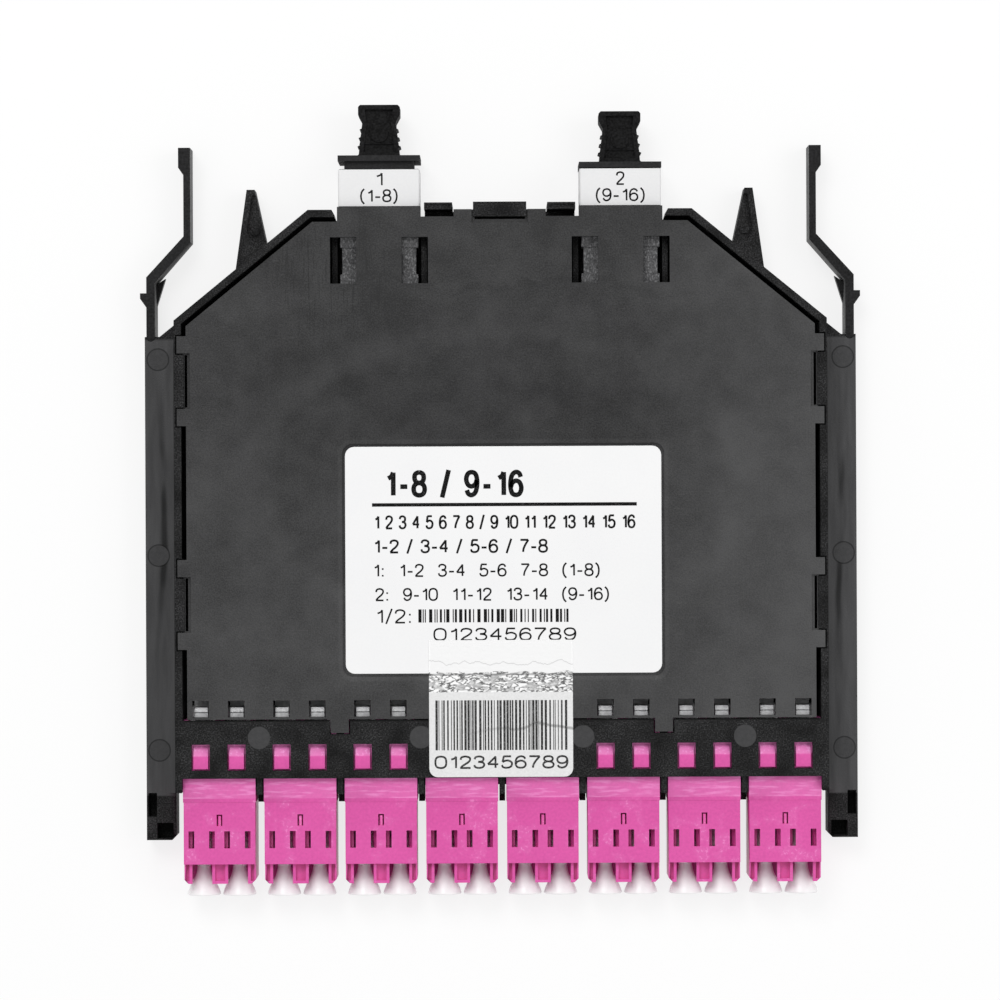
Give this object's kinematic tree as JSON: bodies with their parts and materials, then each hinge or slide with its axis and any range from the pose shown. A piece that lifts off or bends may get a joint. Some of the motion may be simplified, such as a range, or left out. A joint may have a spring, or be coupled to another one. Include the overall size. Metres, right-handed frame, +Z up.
{
  "type": "fibre cassette",
  "caption": "Flat moulded fibre cassette: duplex LC adapters with dust caps along the front, two multi-fibre ports at the rear, side rails and squeeze latch arms.",
  "frame": {"origin": "centre of the case's underside, midway across and midway between the front bar and the rear wall", "axes": "+Y towards the rear ports, +Z up through the cover, +X to the right seen from above with the rear ports away"},
  "size_m": [0.1268, 0.1387, 0.0121],
  "materials": {
    "case_black": "moulded, fine grain",
    "cover_grey": "moulded, satin",
    "adapter_magenta": "moulded, semi-gloss",
    "cap_clear": "milky translucent",
    "plug_grey": "moulded, semi-gloss",
    "mpo_grey": "moulded, speckled",
    "mpo_black": "moulded, satin",
    "ceramic": "polished ceramic",
    "fibre_aqua": "jacketed fibre",
    "label_paper": "coated paper",
    "seal_film": "printed film"
  },
  "bodies": {
    "case": {"base_shell": "case_black", "cover": "cover_grey", "lc_adapter_1": "adapter_magenta", "lc_adapter_2": "adapter_magenta", "lc_adapter_3": "adapter_magenta", "lc_adapter_4": "adapter_magenta", "lc_adapter_5": "adapter_magenta", "lc_adapter_6": "adapter_magenta", "lc_adapter_7": "adapter_magenta", "lc_adapter_8": "adapter_magenta", "alignment_sleeves": "ceramic", "lc_plug_1": "plug_grey", "lc_plug_2": "plug_grey", "lc_plug_3": "plug_grey", "lc_plug_4": "plug_grey", "lc_plug_5": "plug_grey", "lc_plug_6": "plug_grey", "lc_plug_7": "plug_grey", "lc_plug_8": "plug_grey", "lc_plug_9": "plug_grey", "lc_plug_10": "plug_grey", "lc_plug_11": "plug_grey", "lc_plug_12": "plug_grey", "lc_plug_13": "plug_grey", "lc_plug_14": "plug_grey", "lc_plug_15": "plug_grey", "lc_plug_16": "plug_grey", "mpo_adapter_1": "mpo_grey", "mpo_adapter_2": "mpo_grey", "mpo_plug_1": "mpo_black", "mpo_plug_2": "mpo_black", "port_label_1": "label_paper", "port_label_2": "label_paper", "fibre_harness_1": "fibre_aqua", "fibre_harness_2": "fibre_aqua", "id_label": "label_paper", "seal_sticker": "seal_film"},
    "latch_arm_left": {"latch_arm_left": "case_black"},
    "latch_arm_right": {"latch_arm_right": "case_black"},
    "lc_dust_cap_1": {"lc_dust_cap_1": "cap_clear"},
    "lc_dust_cap_2": {"lc_dust_cap_2": "cap_clear"},
    "lc_dust_cap_3": {"lc_dust_cap_3": "cap_clear"},
    "lc_dust_cap_4": {"lc_dust_cap_4": "cap_clear"},
    "lc_dust_cap_5": {"lc_dust_cap_5": "cap_clear"},
    "lc_dust_cap_6": {"lc_dust_cap_6": "cap_clear"},
    "lc_dust_cap_7": {"lc_dust_cap_7": "cap_clear"},
    "lc_dust_cap_8": {"lc_dust_cap_8": "cap_clear"},
    "lc_dust_cap_9": {"lc_dust_cap_9": "cap_clear"},
    "lc_dust_cap_10": {"lc_dust_cap_10": "cap_clear"},
    "lc_dust_cap_11": {"lc_dust_cap_11": "cap_clear"},
    "lc_dust_cap_12": {"lc_dust_cap_12": "cap_clear"},
    "lc_dust_cap_13": {"lc_dust_cap_13": "cap_clear"},
    "lc_dust_cap_14": {"lc_dust_cap_14": "cap_clear"},
    "lc_dust_cap_15": {"lc_dust_cap_15": "cap_clear"},
    "lc_dust_cap_16": {"lc_dust_cap_16": "cap_clear"},
    "mpo_dust_cap_1": {"mpo_dust_cap_1": "mpo_black"},
    "mpo_dust_cap_2": {"mpo_dust_cap_2": "mpo_black"}
  },
  "joints": [
    {"name": "latch_left_flex", "type": "hinge", "parent": "case", "child": "latch_arm_left", "pos_m": [-0.06155, 0.0278, 0.003], "axis": [0, 0, -1], "range_deg": [0, 9], "stiffness_Nm_per_rad": 0.8},
    {"name": "latch_right_flex", "type": "hinge", "parent": "case", "child": "latch_arm_right", "pos_m": [0.06155, 0.0278, 0.003], "axis": [0, 0, 1], "range_deg": [0, 9], "stiffness_Nm_per_rad": 0.8},
    {"name": "lc_cap_1_pull", "type": "slide", "parent": "case", "child": "lc_dust_cap_1", "axis": [0, -1, 0], "range_m": [0, 0.013]},
    {"name": "lc_cap_2_pull", "type": "slide", "parent": "case", "child": "lc_dust_cap_2", "axis": [0, -1, 0], "range_m": [0, 0.013]},
    {"name": "lc_cap_3_pull", "type": "slide", "parent": "case", "child": "lc_dust_cap_3", "axis": [0, -1, 0], "range_m": [0, 0.013]},
    {"name": "lc_cap_4_pull", "type": "slide", "parent": "case", "child": "lc_dust_cap_4", "axis": [0, -1, 0], "range_m": [0, 0.013]},
    {"name": "lc_cap_5_pull", "type": "slide", "parent": "case", "child": "lc_dust_cap_5", "axis": [0, -1, 0], "range_m": [0, 0.013]},
    {"name": "lc_cap_6_pull", "type": "slide", "parent": "case", "child": "lc_dust_cap_6", "axis": [0, -1, 0], "range_m": [0, 0.013]},
    {"name": "lc_cap_7_pull", "type": "slide", "parent": "case", "child": "lc_dust_cap_7", "axis": [0, -1, 0], "range_m": [0, 0.013]},
    {"name": "lc_cap_8_pull", "type": "slide", "parent": "case", "child": "lc_dust_cap_8", "axis": [0, -1, 0], "range_m": [0, 0.013]},
    {"name": "lc_cap_9_pull", "type": "slide", "parent": "case", "child": "lc_dust_cap_9", "axis": [0, -1, 0], "range_m": [0, 0.013]},
    {"name": "lc_cap_10_pull", "type": "slide", "parent": "case", "child": "lc_dust_cap_10", "axis": [0, -1, 0], "range_m": [0, 0.013]},
    {"name": "lc_cap_11_pull", "type": "slide", "parent": "case", "child": "lc_dust_cap_11", "axis": [0, -1, 0], "range_m": [0, 0.013]},
    {"name": "lc_cap_12_pull", "type": "slide", "parent": "case", "child": "lc_dust_cap_12", "axis": [0, -1, 0], "range_m": [0, 0.013]},
    {"name": "lc_cap_13_pull", "type": "slide", "parent": "case", "child": "lc_dust_cap_13", "axis": [0, -1, 0], "range_m": [0, 0.013]},
    {"name": "lc_cap_14_pull", "type": "slide", "parent": "case", "child": "lc_dust_cap_14", "axis": [0, -1, 0], "range_m": [0, 0.013]},
    {"name": "lc_cap_15_pull", "type": "slide", "parent": "case", "child": "lc_dust_cap_15", "axis": [0, -1, 0], "range_m": [0, 0.013]},
    {"name": "lc_cap_16_pull", "type": "slide", "parent": "case", "child": "lc_dust_cap_16", "axis": [0, -1, 0], "range_m": [0, 0.013]},
    {"name": "mpo_cap_1_pull", "type": "slide", "parent": "case", "child": "mpo_dust_cap_1", "axis": [0, 1, 0], "range_m": [-0.0013, 0.009]},
    {"name": "mpo_cap_2_pull", "type": "slide", "parent": "case", "child": "mpo_dust_cap_2", "axis": [0, 1, 0], "range_m": [0, 0.01]}
  ]
}
